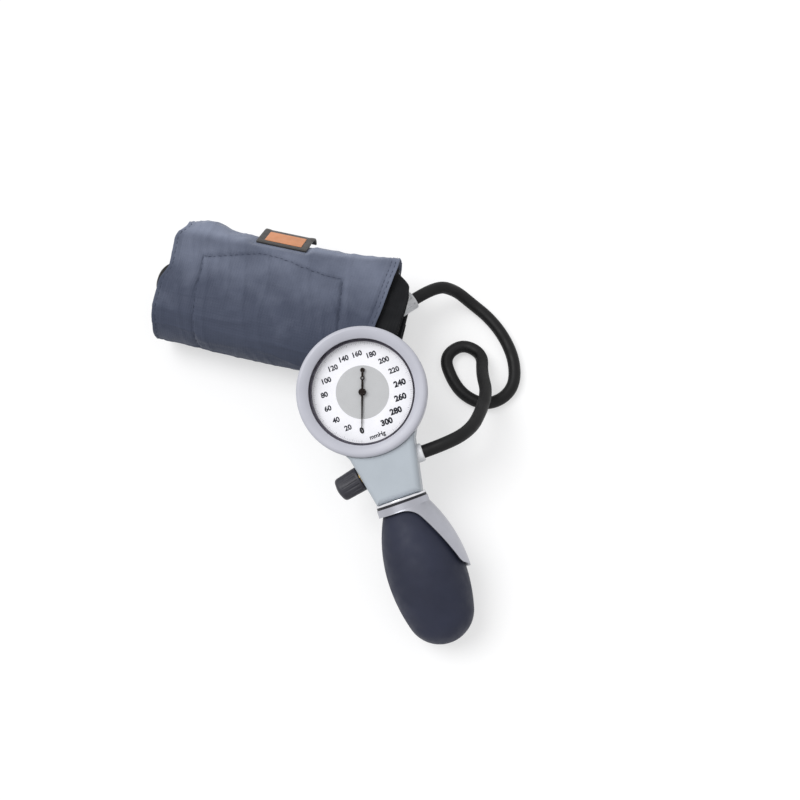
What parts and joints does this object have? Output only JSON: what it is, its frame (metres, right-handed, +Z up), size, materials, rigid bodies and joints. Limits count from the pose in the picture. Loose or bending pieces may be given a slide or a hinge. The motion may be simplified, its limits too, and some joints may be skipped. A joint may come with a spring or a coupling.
{
  "type": "aneroid sphygmomanometer",
  "caption": "Palm-style aneroid blood pressure gauge with bulb, spoon and bleed valve, joined by a rubber hose to a rolled arm cuff.",
  "frame": {"origin": "on the ground, under the middle of the gauge and cuff together", "axes": "+Z up; +X along the rolled cuff towards its open end, where the hose comes out; +Y from the gauge towards the cuff"},
  "size_m": [0.2255, 0.2093, 0.0731],
  "materials": {
    "case_grey": "satin grey paint",
    "bezel_grey": "satin light grey paint",
    "clear": "polished",
    "gasket_black": "matte",
    "dial_white": "matte white with a printed scale",
    "pointer_dark": "satin",
    "brass": "turned",
    "bronze": "bright",
    "steel": "turned",
    "filter_bronze": "sintered",
    "inner_plastic": "matte",
    "nipple_grey": "satin white",
    "knob_black": "ribbed, matte",
    "valve_rubber": "matte",
    "collar_chrome": "polished",
    "spoon_steel": "polished",
    "bulb_rubber": "smooth satin",
    "hose_rubber": "matte",
    "coupling_white": "satin",
    "coupling_metal": "plated",
    "cuff_cloth": "woven nylon",
    "lining_black": "black woven",
    "bladder_rubber": "matte",
    "patch_dark": "matte",
    "patch_orange": "matte"
  },
  "bodies": {
    "instrument": {"rear_shell": "case_grey", "neck_cover": "case_grey", "shell_screws": "steel", "bezel_ring": "bezel_grey", "lens": "clear", "lens_gasket": "gasket_black", "dial_plate": "dial_white", "movement_base_plate": "brass", "movement_top_plate": "brass", "movement_pillars": "brass", "plate_screws": "steel", "movement_screws": "steel", "hairspring": "bronze", "hairspring_stud": "brass", "capsule": "bronze", "capsule_pipe": "bronze", "air_manifold": "inner_plastic", "micro_filter": "filter_bronze", "hose_nipple": "nipple_grey", "valve_body": "brass", "valve_oring": "gasket_black", "bulb_coupler": "inner_plastic", "valve_retainer": "inner_plastic", "neck_collar": "collar_chrome", "collar_seal": "gasket_black", "bulb": "bulb_rubber", "cuff_fabric": "cuff_cloth", "cuff_bladder": "bladder_rubber", "cuff_lining": "lining_black", "hook_strip": "lining_black", "label_patch": "patch_dark", "label_stripe": "patch_orange", "hose": "hose_rubber", "cuff_tube": "hose_rubber", "male_coupling": "coupling_white", "female_coupling": "coupling_metal", "bladder_port": "hose_rubber"},
    "sector": {"sector_gear": "brass"},
    "pointer_set": {"pinion_arbor": "steel", "pointer": "pointer_dark", "pointer_hub": "pointer_dark"},
    "rocker": {"rocker_shaft": "steel", "rocker_arm": "brass"},
    "lift_rod": {"capsule_post": "brass"},
    "needle": {"bleed_needle": "steel"},
    "knob": {"valve_knob": "knob_black", "valve_stem": "steel"},
    "hand_spoon": {"spoon": "spoon_steel"},
    "outlet_valve": {"outlet_disc": "valve_rubber"},
    "inlet_valve": {"inlet_disc": "valve_rubber"}
  },
  "joints": [
    {"name": "sector_rock", "type": "hinge", "parent": "instrument", "child": "sector", "pos_m": [0.0443, 0.02533, 0.05326], "axis": [0, -0.3007, 0.9537], "range_deg": [0, 32], "stiffness_Nm_per_rad": 0.003},
    {"name": "pointer_turn", "type": "hinge", "parent": "instrument", "child": "pointer_set", "pos_m": [0.02564, 0.01421, 0.04975], "axis": [0, -0.3007, 0.9537], "range_deg": [-320, 0]},
    {"name": "rocker_tilt", "type": "hinge", "parent": "instrument", "child": "rocker", "pos_m": [0.02649, 0.01322, 0.04839], "axis": [0.848, 0.5054, 0.1593], "range_deg": [-17.79, 0]},
    {"name": "capsule_rise", "type": "slide", "parent": "instrument", "child": "lift_rod", "axis": [0, -0.3007, 0.9537], "range_m": [0, 0.00168]},
    {"name": "knob_turn", "type": "hinge", "parent": "needle", "child": "knob", "pos_m": [0.03482, -0.02856, 0.03626], "axis": [-0.7254, -0.6565, -0.207], "range_deg": [0, 540.1]},
    {"name": "needle_slide", "type": "slide", "parent": "instrument", "child": "needle", "axis": [-0.7254, -0.6565, -0.207], "range_m": [0, 0.00112]},
    {"name": "spoon_swivel", "type": "hinge", "parent": "instrument", "child": "hand_spoon", "pos_m": [0.02564, 0.01421, 0.04975], "axis": [-0.5299, 0.8088, 0.255], "range_deg": [-180, 180]},
    {"name": "outlet_lift", "type": "slide", "parent": "instrument", "child": "outlet_valve", "axis": [-0.5299, 0.8088, 0.255], "range_m": [0, 0.0008], "stiffness_N_per_m": 5},
    {"name": "inlet_lift", "type": "slide", "parent": "instrument", "child": "inlet_valve", "axis": [0.5299, -0.8088, -0.255], "range_m": [0, 0.0008], "stiffness_N_per_m": 5}
  ],
  "couplings": [
    {"joint": "pointer_turn", "follows": "sector_rock", "ratio": -10},
    {"joint": "rocker_tilt", "follows": "sector_rock", "ratio": -0.556},
    {"joint": "capsule_rise", "follows": "sector_rock", "m_per_rad": 0.003008},
    {"joint": "knob_turn", "follows": "needle_slide", "rad_per_m": 8377.6}
  ]
}
